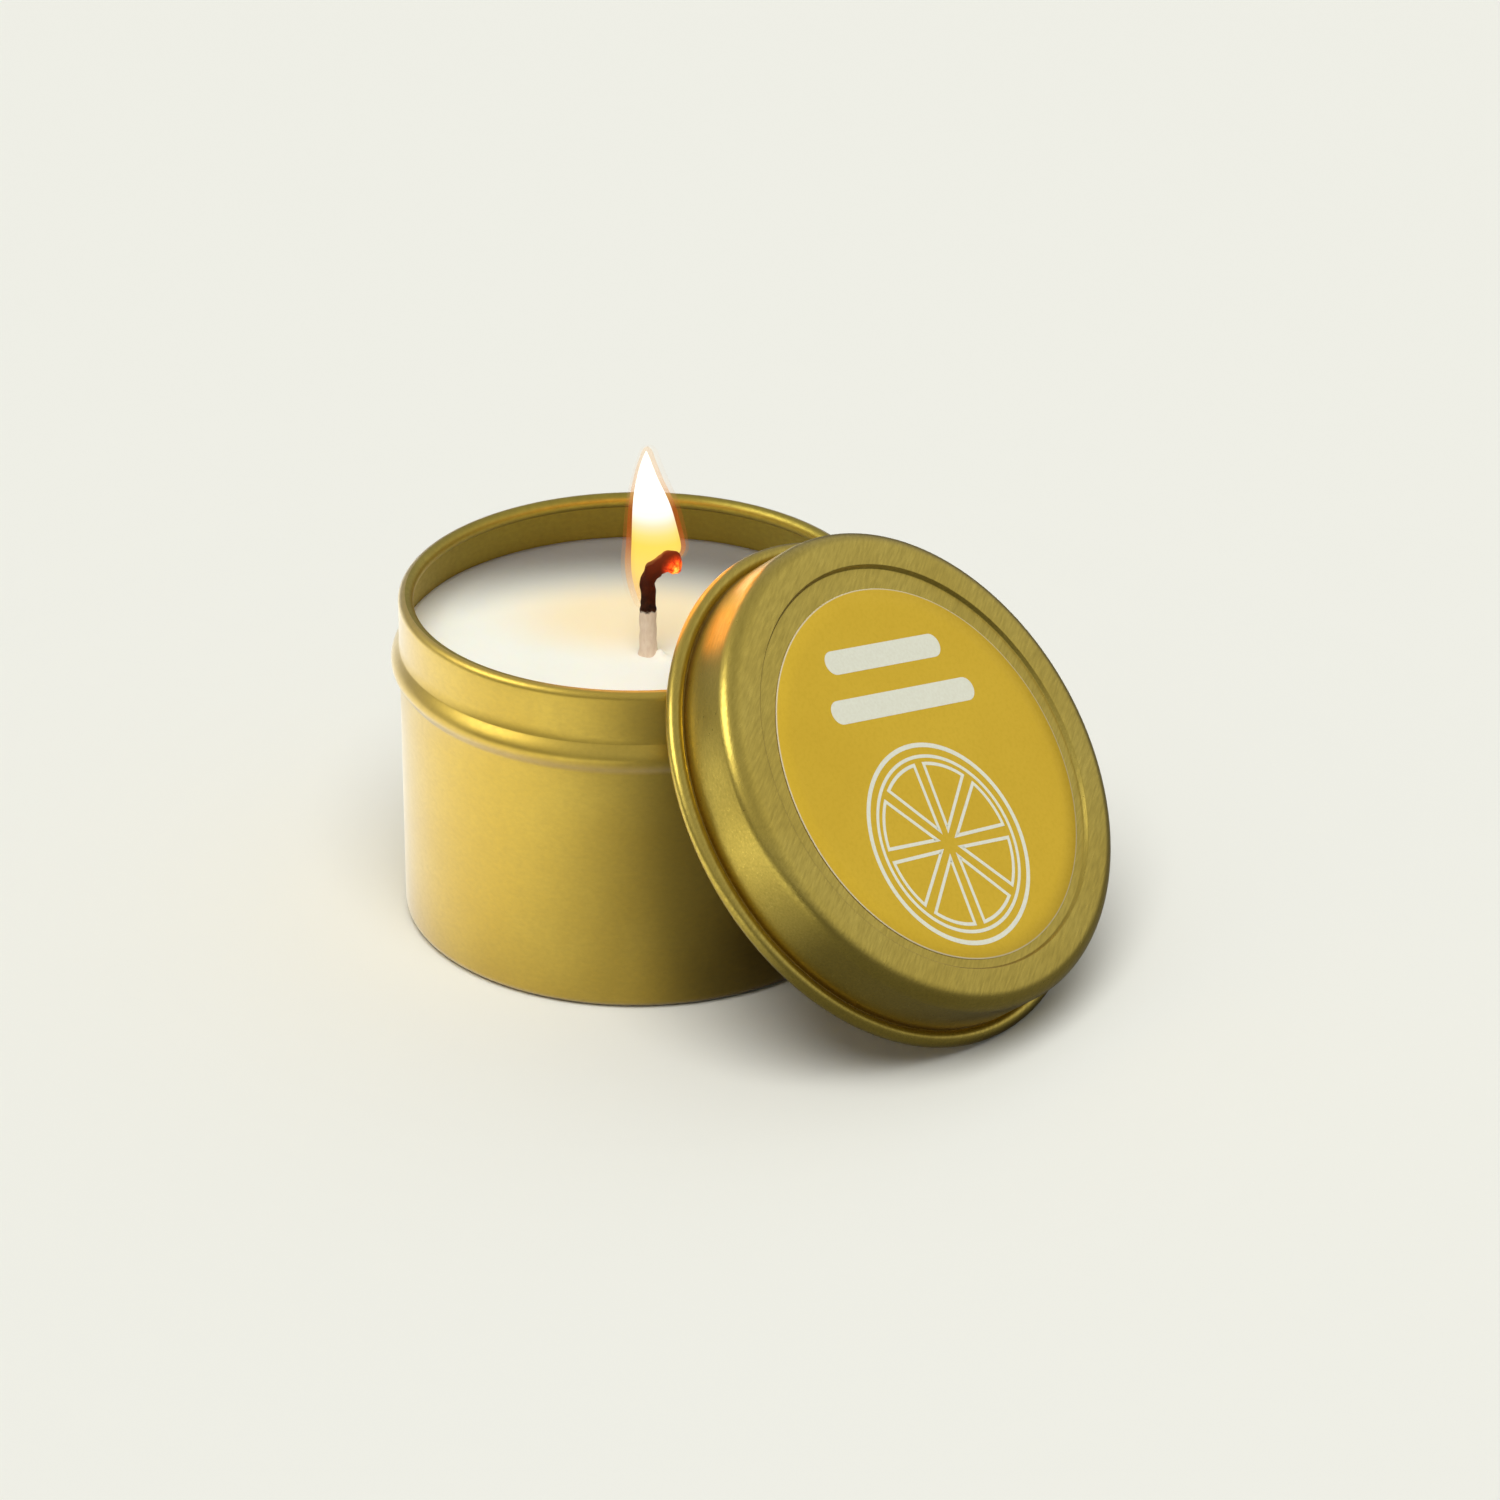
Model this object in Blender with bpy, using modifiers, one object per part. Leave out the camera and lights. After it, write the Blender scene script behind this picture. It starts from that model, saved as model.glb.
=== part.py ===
"""Candle tin: a drawn round tin with a poured candle, and its slip lid leaning on the rim.

Metres, +Z up. The origin is the centre of the tin's base, on the surface it stands on.
Run with: blender --background --python part.py
"""
from math import asin, atan, cos, pi, radians, sin, sqrt

import bpy

# The tin, drawn in one piece from sheet
TIN_RADIUS = 0.0311
TIN_HEIGHT = 0.0453
SHEET = 0.0003
RIM_CURL_RADIUS = 0.0010
RIM_CURL_ANGLE = radians(270)
BEAD_BELOW_RIM = 0.0092
BEAD_HEIGHT = 0.0044
BEAD_STANDS_OUT = 0.0011
BASE_CORNER_RADIUS = 0.0014
BASE_GROOVE_DEPTH = 0.0008
BASE_GROOVE_WIDTH = 0.0050
BASE_GROOVE_SLOPE = 0.0008
BASE_FOOT_WIDTH = 0.0030

# The lid, pressed from the same sheet, slips over the bead
LID_CLEARANCE = 0.0002
LID_HEIGHT = 0.0108
LID_SHOULDER_RADIUS = 0.0022
LID_RING_WIDTH = 0.0056
LID_PANEL_SINK = 0.0006
LID_STEP_WIDTH = 0.0006
LID_CURL_RADIUS = 0.0011
LID_CURL_ANGLE = radians(250)

# The round sticker on the lid, put on a little low
LABEL_MARGIN = 0.0018
LABEL_THICKNESS = 0.00015
LABEL_OFF_CENTRE = 0.0009

# How the lid leans: its foot stands on the table, its top reaches over the rim
LID_OVER_RIM = 0.0077
LID_BEARING = radians(-36.3)

# The candle
WAX_BELOW_RIM = 0.0074
WAX_DISH = 0.0010
WICK_X = 0.0014
WICK_Y = -0.0026
WICK_RADIUS = 0.0010
WICK_SHOWS = 0.0138
WICK_HOOK_RADIUS = 0.0038
WICK_HOOK_ANGLE = radians(92)
WICK_TIP_LENGTH = 0.0008

# The tab that holds the wick upright, and the pad that holds the tab to the base
TAB_RADIUS = 0.0095
TAB_SHEET = 0.0003
COLLAR_HEIGHT = 0.0060
PAD_RADIUS = 0.0085
PAD_THICKNESS = 0.0005

# What touches keeps this gap
GAP = 0.0003

# How finely round things are cut
TURN_STEPS = 48
CURL_STEPS = 9
BEAD_STEPS = 8
CORNER_STEPS = 4
DISH_STEPS = 5
HOOK_STEPS = 6
WICK_SIDES = 3
MERGE_DISTANCE = 0.00001
LEAN_STEPS = 360
LEAN_TRIES = 30

TIN_INSIDE = TIN_RADIUS - SHEET
BEAD_RADIUS = TIN_RADIUS + BEAD_STANDS_OUT
LID_INSIDE = BEAD_RADIUS + LID_CLEARANCE
LID_RADIUS = LID_INSIDE + SHEET
LID_CURL_OUTSIDE = LID_INSIDE + 2 * LID_CURL_RADIUS
LID_PANEL_RADIUS = LID_RADIUS - LID_RING_WIDTH
LID_PANEL_TOP = LID_HEIGHT - LID_PANEL_SINK
BASE_TOP = BASE_GROOVE_DEPTH + SHEET
PAD_BOTTOM = SHEET + GAP
TAB_BOTTOM = PAD_BOTTOM + PAD_THICKNESS + GAP
COLLAR_INSIDE = WICK_RADIUS + GAP
COLLAR_OUTSIDE = COLLAR_INSIDE + TAB_SHEET
WAX_TOP = TIN_HEIGHT - WAX_BELOW_RIM


def start_empty():
    for thing in list(bpy.data.objects):
        bpy.data.objects.remove(thing, do_unlink=True)
    for group in list(bpy.data.collections):
        bpy.data.collections.remove(group)


def make_collection(name):
    group = bpy.data.collections.new(name)
    bpy.context.scene.collection.children.link(group)
    return group


def make_material(name, colour, roughness, metallic):
    material = bpy.data.materials.new(name)
    material.use_nodes = True
    shader = material.node_tree.nodes["Principled BSDF"]
    shader.inputs["Base Color"].default_value = (*colour, 1.0)
    shader.inputs["Roughness"].default_value = roughness
    shader.inputs["Metallic"].default_value = metallic
    return material


def arc(centre, radius, start, sweep, steps):
    """Points (r, z) along an arc, both ends included."""
    turns = [start + sweep * step / steps for step in range(steps + 1)]
    return [(centre[0] + radius * cos(turn), centre[1] + radius * sin(turn)) for turn in turns]


def sheet_outline(path, thickness):
    """The closed outline of a sheet whose face is the path, thickened to the path's left."""
    back = []
    for place, (r, z) in enumerate(path):
        before = path[max(place - 1, 0)]
        after = path[min(place + 1, len(path) - 1)]
        normals = []
        for (r0, z0), (r1, z1) in ((before, (r, z)), ((r, z), after)):
            length = sqrt((r1 - r0) ** 2 + (z1 - z0) ** 2)
            if length > 0:
                normals.append(((z0 - z1) / length, (r1 - r0) / length))
        across = [sum(normal[axis] for normal in normals) for axis in (0, 1)]
        lead = normals[0][0] * across[0] + normals[0][1] * across[1]
        if r == 0:
            across, lead = (0.0, 1.0), 1.0
        back.append((r + thickness * across[0] / lead, z + thickness * across[1] / lead))
    return path + back[::-1]


def turn(name, outline, material, group, closed=False):
    """A solid turned about Z; its outline runs down the outer side, and starts and ends on
    the axis unless it is closed."""
    count = len(outline)
    edges = [(place, place + 1) for place in range(count - 1)]
    if closed:
        edges.append((count - 1, 0))
    mesh = bpy.data.meshes.new(name)
    mesh.from_pydata([(r, 0.0, z) for r, z in outline], edges, [])
    thing = bpy.data.objects.new(name, mesh)
    group.objects.link(thing)
    mesh.materials.append(material)
    screw = thing.modifiers.new("turned", "SCREW")
    screw.steps = TURN_STEPS
    screw.render_steps = TURN_STEPS
    screw.use_merge_vertices = True
    screw.merge_threshold = MERGE_DISTANCE
    screw.use_smooth_shade = True
    return thing


def make_tin(material, group):
    """One sheet from the middle of the base, up the wall and over into the rolled rim."""
    foot_outer = TIN_RADIUS - BASE_CORNER_RADIUS
    groove_outer = foot_outer - BASE_FOOT_WIDTH
    groove_inner = groove_outer - BASE_GROOVE_WIDTH
    path = [
        (0.0, 0.0),
        (groove_inner, 0.0),
        (groove_inner + BASE_GROOVE_SLOPE, BASE_GROOVE_DEPTH),
        (groove_outer - BASE_GROOVE_SLOPE, BASE_GROOVE_DEPTH),
        (groove_outer, 0.0),
    ]
    path += arc((foot_outer, BASE_CORNER_RADIUS), BASE_CORNER_RADIUS, -pi / 2, pi / 2, CORNER_STEPS)
    bead_bottom = TIN_HEIGHT - BEAD_BELOW_RIM - BEAD_HEIGHT / 2
    for step in range(BEAD_STEPS + 1):
        along = step / BEAD_STEPS
        swell = BEAD_STANDS_OUT * (1 - cos(2 * pi * along)) / 2
        path.append((TIN_RADIUS + swell, bead_bottom + BEAD_HEIGHT * along))
    curl_centre = (TIN_RADIUS - RIM_CURL_RADIUS, TIN_HEIGHT - RIM_CURL_RADIUS)
    path += arc(curl_centre, RIM_CURL_RADIUS, 0.0, RIM_CURL_ANGLE, CURL_STEPS)
    return turn("tin_body", sheet_outline(path, SHEET)[::-1], material, group)


def make_lid(material, group):
    """One sheet from under the middle of the panel, down the skirt and out into its curl."""
    ring_inner = LID_PANEL_RADIUS + LID_STEP_WIDTH
    bend = LID_SHOULDER_RADIUS - SHEET
    path = [
        (0.0, LID_PANEL_TOP - SHEET),
        (LID_PANEL_RADIUS, LID_PANEL_TOP - SHEET),
        (ring_inner, LID_HEIGHT - SHEET),
    ]
    shoulder = (LID_INSIDE - bend, LID_HEIGHT - SHEET - bend)
    path += arc(shoulder, bend, pi / 2, -pi / 2, CORNER_STEPS)
    curl_centre = (LID_INSIDE + LID_CURL_RADIUS, LID_CURL_RADIUS)
    path += arc(curl_centre, LID_CURL_RADIUS, pi, LID_CURL_ANGLE, CURL_STEPS)
    return turn("lid_shell", sheet_outline(path, SHEET)[::-1], material, group)


def make_label(material, group):
    radius = LID_PANEL_RADIUS - LABEL_MARGIN
    bottom = LID_PANEL_TOP + GAP
    top = bottom + LABEL_THICKNESS
    outline = [(0.0, top), (radius, top), (radius, bottom), (0.0, bottom)]
    label = turn("lid_label", outline, material, group)
    label.location.x = LABEL_OFF_CENTRE
    return label


def rim_to_curl(away, lean, height):
    """How near the middles of the tin's rolled rim and the lid's curl come to each other."""
    across_curl = LID_INSIDE + LID_CURL_RADIUS
    nearest = across_curl
    for step in range(LEAN_STEPS):
        turn_angle = 2 * pi * step / LEAN_STEPS
        along, sideways = across_curl * cos(turn_angle), across_curl * sin(turn_angle)
        outward = away + along * cos(lean) + LID_CURL_RADIUS * sin(lean)
        up = height - along * sin(lean) + LID_CURL_RADIUS * cos(lean)
        from_roll = sqrt(outward ** 2 + sideways ** 2) - (TIN_RADIUS - RIM_CURL_RADIUS)
        above_roll = up - (TIN_HEIGHT - RIM_CURL_RADIUS)
        nearest = min(nearest, sqrt(from_roll ** 2 + above_roll ** 2))
    return nearest


def lean_lid(pieces):
    """Stands the lid on its curl, with its top over the rim and a gap short of touching it."""
    up_face = LID_INSIDE - LID_OVER_RIM
    reach = LID_CURL_OUTSIDE - LID_CURL_RADIUS + up_face
    lean = asin((TIN_HEIGHT - LID_CURL_RADIUS) / sqrt(reach ** 2 + LID_CURL_RADIUS ** 2))
    lean += atan(LID_CURL_RADIUS / reach)
    height = (LID_CURL_OUTSIDE - LID_CURL_RADIUS) * sin(lean) + LID_CURL_RADIUS * (1 - cos(lean))
    touching = RIM_CURL_RADIUS + LID_CURL_RADIUS + GAP
    inner, outer = up_face * cos(lean), TIN_RADIUS + up_face * cos(lean)
    for _ in range(LEAN_TRIES):
        away = (inner + outer) / 2
        if rim_to_curl(away, lean, height) < touching:
            inner = away
        else:
            outer = away
    frame = bpy.data.objects.new("lid_frame", None)
    bpy.context.scene.collection.objects.link(frame)
    frame.location = (outer * cos(LID_BEARING), outer * sin(LID_BEARING), height)
    frame.rotation_euler = (0.0, lean, LID_BEARING)
    for piece in pieces:
        piece.parent = frame


def make_wax(material, group, cutters):
    """The poured wax, dished at the top, with the space that the wick and its tab fill."""
    radius = TIN_INSIDE - GAP
    bottom = BASE_TOP + GAP
    outline = []
    for ring in range(DISH_STEPS + 1):
        share = ring / DISH_STEPS
        outline.append((radius * share, WAX_TOP - WAX_DISH * (1 - share ** 2)))
    outline += [(radius, bottom), (0.0, bottom)]
    wax = turn("wax_fill", outline, material, group)
    tab_top = TAB_BOTTOM + TAB_SHEET + GAP
    collar_top = TAB_BOTTOM + COLLAR_HEIGHT + GAP
    above = WAX_TOP + WAX_DISH
    space = [
        (0.0, above),
        (WICK_RADIUS + GAP, above),
        (WICK_RADIUS + GAP, collar_top),
        (COLLAR_OUTSIDE + GAP, collar_top),
        (COLLAR_OUTSIDE + GAP, tab_top),
        (TAB_RADIUS + GAP, tab_top),
        (TAB_RADIUS + GAP, 0.0),
        (0.0, 0.0),
    ]
    cutter = turn("wick_space", space, material, cutters)
    cutter.location = (WICK_X, WICK_Y, 0.0)
    cutter.hide_render = True
    cutter.display_type = "WIRE"
    cut = wax.modifiers.new("wick space", "BOOLEAN")
    cut.operation = "DIFFERENCE"
    cut.solver = "EXACT"
    cut.object = cutter
    return wax


def make_wick(material, group):
    """A braided cord, straight up from the tab, with its burnt end curled over."""
    foot = TAB_BOTTOM
    hook_z = WAX_TOP - WAX_DISH + WICK_SHOWS - WICK_HOOK_RADIUS
    points = [(0.0, foot), (0.0, (foot + hook_z) / 2)]
    points += arc((WICK_HOOK_RADIUS, hook_z), WICK_HOOK_RADIUS, pi, -WICK_HOOK_ANGLE, HOOK_STEPS)
    last_x, last_z = points[-1]
    droop = WICK_HOOK_ANGLE - pi / 2
    points.append((last_x + WICK_TIP_LENGTH * cos(droop), last_z - WICK_TIP_LENGTH * sin(droop)))
    curve = bpy.data.curves.new("wick", "CURVE")
    curve.dimensions = "3D"
    curve.bevel_depth = WICK_RADIUS
    curve.bevel_resolution = WICK_SIDES
    curve.use_fill_caps = True
    spline = curve.splines.new("POLY")
    spline.points.add(len(points) - 1)
    for point, (x, z) in zip(spline.points, points):
        point.co = (x, 0.0, z, 1.0)
    curve.materials.append(material)
    wick = bpy.data.objects.new("wick", curve)
    wick.location = (WICK_X, WICK_Y, 0.0)
    group.objects.link(wick)
    return wick


def make_tab(material, group):
    """A stamped disc with a collar drawn up round the wick."""
    tab_top = TAB_BOTTOM + TAB_SHEET
    collar_top = TAB_BOTTOM + COLLAR_HEIGHT
    outline = [
        (COLLAR_INSIDE, collar_top),
        (COLLAR_OUTSIDE, collar_top),
        (COLLAR_OUTSIDE, tab_top),
        (TAB_RADIUS, tab_top),
        (TAB_RADIUS, TAB_BOTTOM),
        (COLLAR_INSIDE, TAB_BOTTOM),
    ]
    tab = turn("wick_sustainer", outline, material, group, closed=True)
    tab.location = (WICK_X, WICK_Y, 0.0)
    return tab


def make_pad(material, group):
    top = PAD_BOTTOM + PAD_THICKNESS
    outline = [(0.0, top), (PAD_RADIUS, top), (PAD_RADIUS, PAD_BOTTOM), (0.0, PAD_BOTTOM)]
    pad = turn("wick_sticker", outline, material, group)
    pad.location = (WICK_X, WICK_Y, 0.0)
    return pad


def main():
    start_empty()
    group = make_collection("candle_tin")
    cutters = make_collection("cutters")
    make_tin(make_material("tin gold lacquer", (0.62, 0.43, 0.10), 0.32, 1.0), group)
    lid = make_lid(make_material("lid gold lacquer", (0.60, 0.45, 0.15), 0.30, 1.0), group)
    label = make_label(make_material("gold sticker", (0.56, 0.40, 0.07), 0.45, 0.4), group)
    lean_lid([lid, label])
    make_wax(make_material("poured wax", (0.92, 0.88, 0.70), 0.45, 0.0), group, cutters)
    make_wick(make_material("waxed cotton", (0.42, 0.34, 0.24), 0.90, 0.0), group)
    make_tab(make_material("plain steel", (0.60, 0.60, 0.58), 0.35, 1.0), group)
    make_pad(make_material("adhesive pad", (0.85, 0.85, 0.82), 0.80, 0.0), group)


main()
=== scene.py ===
from math import atan2, cos, degrees, exp, hypot, pi, radians, sin, sqrt

import bpy
from mathutils import Euler, Matrix, Vector, noise


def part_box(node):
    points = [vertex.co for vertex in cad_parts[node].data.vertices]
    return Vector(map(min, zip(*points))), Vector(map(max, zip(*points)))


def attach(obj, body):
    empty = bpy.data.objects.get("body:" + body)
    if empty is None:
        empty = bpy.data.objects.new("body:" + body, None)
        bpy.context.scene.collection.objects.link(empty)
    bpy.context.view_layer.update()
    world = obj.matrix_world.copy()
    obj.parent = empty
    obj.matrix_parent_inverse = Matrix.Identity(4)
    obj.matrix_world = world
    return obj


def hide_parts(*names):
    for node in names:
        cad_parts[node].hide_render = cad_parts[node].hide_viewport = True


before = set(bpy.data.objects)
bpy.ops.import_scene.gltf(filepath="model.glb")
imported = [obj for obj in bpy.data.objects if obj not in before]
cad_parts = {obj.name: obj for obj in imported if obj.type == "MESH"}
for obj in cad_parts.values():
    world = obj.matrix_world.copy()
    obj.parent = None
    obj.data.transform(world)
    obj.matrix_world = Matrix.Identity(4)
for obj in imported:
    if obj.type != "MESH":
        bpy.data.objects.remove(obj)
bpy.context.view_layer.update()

print("frame loaded:", ", ".join(sorted(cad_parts)))


def selectNone():
    if bpy.context.object and bpy.context.object.mode != "OBJECT":
        bpy.ops.object.mode_set(mode="OBJECT")
    bpy.ops.object.select_all(action="DESELECT")


def startPiece(name):
    # names the primitive that was just added and opens it for shaping
    piece = bpy.context.object
    piece.name = name
    piece.data.name = name
    bpy.ops.object.mode_set(mode="EDIT")
    return piece


def closePiece(piece, sharpAngle=None):
    # back to object mode, shaded smooth all over, or up to an angle
    bpy.ops.object.mode_set(mode="OBJECT")
    selectOnly(piece)
    if sharpAngle is None:
        bpy.ops.object.shade_smooth()
    else:
        bpy.ops.object.shade_smooth_by_angle(angle=sharpAngle)
    return piece


def selectOnly(piece):
    selectNone()
    piece.select_set(True)
    bpy.context.view_layer.objects.active = piece


def applyPlace(piece):
    # the shape stays where it is, and its object goes back to the origin
    selectOnly(piece)
    bpy.ops.object.transform_apply(location=True, rotation=True, scale=True)


def fixNormals(mergeGap=0.000001):
    bpy.ops.mesh.select_all(action="SELECT")
    bpy.ops.mesh.remove_doubles(threshold=mergeGap)
    bpy.ops.mesh.normals_make_consistent(inside=False)


def arcPoints(middle, radius, start, sweep, steps):
    # (radius, height) points along a round bend, both ends included, with its angles in degrees
    points = []
    for step in range(steps + 1):
        angle = radians(start + sweep * step / steps)
        points.append((middle[0] + radius * cos(angle), middle[1] + radius * sin(angle)))
    return points


poleRing = 0.002    # the small ring that a turned piece's flat middle closes from


def turnPiece(name, outline, around):
    # a filled circle raised ring by ring, whose last ring closes on the axis
    selectNone()
    first = outline[0]
    bpy.ops.mesh.primitive_circle_add(
        vertices=around, radius=first[0], fill_type="TRIFAN", location=(0, 0, first[1]))
    piece = startPiece(name)
    applyPlace(piece)
    bpy.ops.object.mode_set(mode="EDIT")
    bpy.ops.mesh.select_mode(type="EDGE")
    bpy.ops.mesh.select_all(action="SELECT")
    bpy.ops.mesh.region_to_loop()
    for before, after in zip(outline, outline[1:]):
        bpy.ops.mesh.extrude_edges_move(
            TRANSFORM_OT_translate={"value": (0, 0, after[1] - before[1])})
        grow = after[0] / before[0]
        bpy.ops.transform.resize(value=(grow, grow, 1), center_override=(0, 0, after[1]))
    bpy.ops.mesh.merge(type="CENTER")
    fixNormals()
    return closePiece(piece)


def moveVertices(piece, rule):
    # sculpt by rule: every vertex goes where the rule sends it
    for vertex in piece.data.vertices:
        vertex.co = rule(vertex.co)
    piece.data.update()


def settle(piece, place):
    # puts a finished piece in its place and leaves its object at the origin
    piece.matrix_world = place
    applyPlace(piece)


def joinPieces(name, pieces):
    selectNone()
    for piece in pieces:
        piece.select_set(True)
    bpy.context.view_layer.objects.active = pieces[0]
    bpy.ops.object.join()
    pieces[0].name = name
    pieces[0].data.name = name
    return pieces[0]


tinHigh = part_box("tin_body")[1]
waxLow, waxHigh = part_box("wax_fill")
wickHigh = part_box("wick")[1]
tabLow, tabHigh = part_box("wick_sustainer")
wickPlace = Vector(((tabLow[0] + tabHigh[0]) / 2, (tabLow[1] + tabHigh[1]) / 2, 0))


def findLid():
    # the lid's place, on its own axes right, up and out of its face, then its depth and its radius
    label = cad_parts["lid_label"].data
    upward = [face for face in label.polygons if face.normal.z > 0]
    out = max(upward, key=lambda face: face.area).normal.copy()
    up = (Vector((0, 0, 1)) - out * out.z).normalized()
    right = up.cross(out)
    points = [vertex.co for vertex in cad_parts["lid_shell"].data.vertices]
    spans = []
    for axis in (right, up, out):
        reach = [point.dot(axis) for point in points]
        spans.append((min(reach), max(reach)))
    across, along, depth = spans
    place = Matrix((right, up, out)).transposed().to_4x4()
    place.translation = right * sum(across) / 2 + up * sum(along) / 2 + out * depth[0]
    return place, depth[1] - depth[0], (across[1] - across[0]) / 2


lidPlace, lidHeight, lidCurlOut = findLid()
print(f"lid: {lidHeight * 1000:.2f} mm deep, {lidCurlOut * 2000:.2f} mm across its curl")


def newMaterial(name):
    material = bpy.data.materials.new(name)
    material.use_nodes = True
    tree = material.node_tree
    return material, tree, tree.nodes["Principled BSDF"]


def addNode(tree, kind, **values):
    node = tree.nodes.new(kind)
    for key, value in values.items():
        setattr(node, key, value)
    return node


def setInputs(node, **values):
    for key, value in values.items():
        node.inputs[key.replace("_", " ")].default_value = value


def pieceCoords(tree, place=None, stretch=(1, 1, 1)):
    # object coordinates, turned to a piece's own axes when it has a place
    coords = addNode(tree, "ShaderNodeTexCoord")
    output = coords.outputs["Object"]
    if place is not None:
        turnBack = addNode(tree, "ShaderNodeMapping", vector_type="TEXTURE")
        turnBack.inputs["Location"].default_value = place.translation
        turnBack.inputs["Rotation"].default_value = place.to_euler()
        tree.links.new(output, turnBack.inputs["Vector"])
        output = turnBack.outputs["Vector"]
    if stretch != (1, 1, 1):
        scaled = addNode(tree, "ShaderNodeMapping")
        scaled.inputs["Scale"].default_value = stretch
        tree.links.new(output, scaled.inputs["Vector"])
        output = scaled.outputs["Vector"]
    return output


def addNoise(tree, coords, scale, detail=3.0, roughness=0.55):
    grain = addNode(tree, "ShaderNodeTexNoise")
    setInputs(grain, Scale=scale, Detail=detail, Roughness=roughness)
    tree.links.new(coords, grain.inputs["Vector"])
    return grain.outputs["Fac"]


noiseRange = (0.3, 0.7)         # nearly all of a noise's values
noiseMiddle = (0.35, 0.65)      # the same with more contrast


def remap(tree, value, fromLow, fromHigh, toLow, toHigh, smooth=False):
    easing = "SMOOTHSTEP" if smooth else "LINEAR"
    node = addNode(tree, "ShaderNodeMapRange", interpolation_type=easing)
    for socket, number in zip(node.inputs[1:5], (fromLow, fromHigh, toLow, toHigh)):
        socket.default_value = number
    tree.links.new(value, node.inputs[0])
    return node.outputs[0]


def addRamp(tree, value, stops, easing="LINEAR"):
    # colours at places from 0 to 1
    ramp = addNode(tree, "ShaderNodeValToRGB")
    ramp.color_ramp.interpolation = easing
    while len(ramp.color_ramp.elements) < len(stops):
        ramp.color_ramp.elements.new(1.0)
    for element, (place, colour) in zip(ramp.color_ramp.elements, stops):
        element.position = place
        element.color = (*colour, 1)
    tree.links.new(value, ramp.inputs["Fac"])
    return ramp.outputs["Color"]


def fadeFrom(tree, coords, place, reach):
    # 1 nearer to a place than the first distance, fading to 0 at the second
    away = addNode(tree, "ShaderNodeVectorMath", operation="DISTANCE")
    away.inputs[1].default_value = place
    tree.links.new(coords, away.inputs[0])
    return remap(tree, away.outputs["Value"], *reach, 1, 0, smooth=True)


def mixColours(tree, factor, first, second):
    node = addNode(tree, "ShaderNodeMix", data_type="RGBA")
    for socket, colour in ((node.inputs[6], first), (node.inputs[7], second)):
        if isinstance(colour, tuple):
            socket.default_value = (*colour, 1)
        else:
            tree.links.new(colour, socket)
    tree.links.new(factor, node.inputs[0])
    return node.outputs[2]


def addBump(tree, shader, height, strength, distance):
    bump = addNode(tree, "ShaderNodeBump")
    setInputs(bump, Strength=strength, Distance=distance)
    tree.links.new(height, bump.inputs["Height"])
    tree.links.new(bump.outputs["Normal"], shader.inputs["Normal"])


def goldLacquer(name, look, place=None):
    # clear gold lacquer over tinplate: a metal with grain drawn one way and faint clouding
    material, tree, shader = newMaterial(name)
    grain = addNoise(tree, pieceCoords(tree, place, look["grainStretch"]), look["grainScale"], 4, 0.6)
    cloud = addNoise(tree, pieceCoords(tree, place), look["cloudScale"], 3, 0.5)
    colour = mixColours(tree, remap(tree, cloud, *noiseMiddle, 0, 1), look["colour"], look["cloudColour"])
    streak = remap(tree, grain, *noiseRange, 0, look["grainShade"])
    tree.links.new(mixColours(tree, streak, colour, look["grainColour"]), shader.inputs["Base Color"])
    tree.links.new(remap(tree, grain, *noiseRange, *look["roughness"]), shader.inputs["Roughness"])
    shader.inputs["Metallic"].default_value = 1.0
    setInputs(shader, Coat_Weight=look["coat"], Coat_Roughness=look["coatRoughness"])
    setInputs(shader, Sheen_Weight=look["sheen"], Sheen_Roughness=look["sheenRoughness"])
    addBump(tree, shader, grain, look["bumpStrength"], look["bumpDepth"])
    return material


tinLook = dict(
    colour=(0.70, 0.49, 0.052),
    cloudColour=(0.66, 0.445, 0.036),
    cloudScale=70,
    grainColour=(0.50, 0.34, 0.032),
    grainScale=1500,
    grainShade=0.28,
    grainStretch=(0.8, 0.8, 1.3),
    roughness=(0.36, 0.46),
    bumpStrength=0.25,
    bumpDepth=0.00003,
    coat=1.0,
    coatRoughness=0.38,
    sheen=0.8,
    sheenRoughness=0.35,
)
# painted shade: a darker, duller copy of the gold lacquer for the tin's inside
tinShadedInsideLook = dict(tinLook)
tinShadedInsideLook.update(
    colour=(0.50, 0.395, 0.056),
    cloudColour=(0.44, 0.34, 0.048),
    grainColour=(0.22, 0.165, 0.025),
    roughness=(0.42, 0.5),
    coat=0.3,
    coatRoughness=0.4,
    sheen=0.0,
)
lidLook = dict(
    colour=(0.68, 0.52, 0.105),
    cloudColour=(0.64, 0.475, 0.085),
    cloudScale=70,
    grainColour=(0.44, 0.325, 0.055),
    grainScale=3400,
    grainShade=0.62,
    grainStretch=(1, 0.14, 1),      # long streaks, as the sheet was brushed
    roughness=(0.27, 0.37),
    bumpStrength=0.6,
    bumpDepth=0.00004,
    coat=0.15,
    coatRoughness=0.3,
    sheen=0.05,
    sheenRoughness=0.35,
)


tin = dict(
    around=192,
    sheet=0.00025,
    beadOut=0.0011,
    beadBelowRim=0.0092,
    beadHeight=0.0044,
    beadRings=36,
    beadLedge=0.55,         # under 1 squares the bead's shoulder up
    beadUnder=0.8,
    rimRoll=0.0010,
    rollAngle=285,          # degrees that the rim is rolled through
    rollSteps=30,
    rollEdge=0.00012,       # the rolled edge stops this far from the wall
    rollReturn=(1.02, 1.3),     # the wall starts this far under the roll's middle, in rolls
    footCorner=0.0014,
    cornerSteps=(10, 6),    # outside and inside
    footWidth=0.0030,
    grooveWidth=0.0050,
    grooveDepth=0.0008,
    grooveSlope=0.0008,
    grooveSteps=6,
    baseRing=0.6,           # one more ring under the base, at this share of the groove's inside
    wallRings=12,
    neckRings=4,
    insideRings=(0.7, 0.4, 0.15),
    insideFrom=0.9,         # what faces inwards beyond this share of the radius gets the darker copy of the lacquer, painted shade
)


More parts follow.
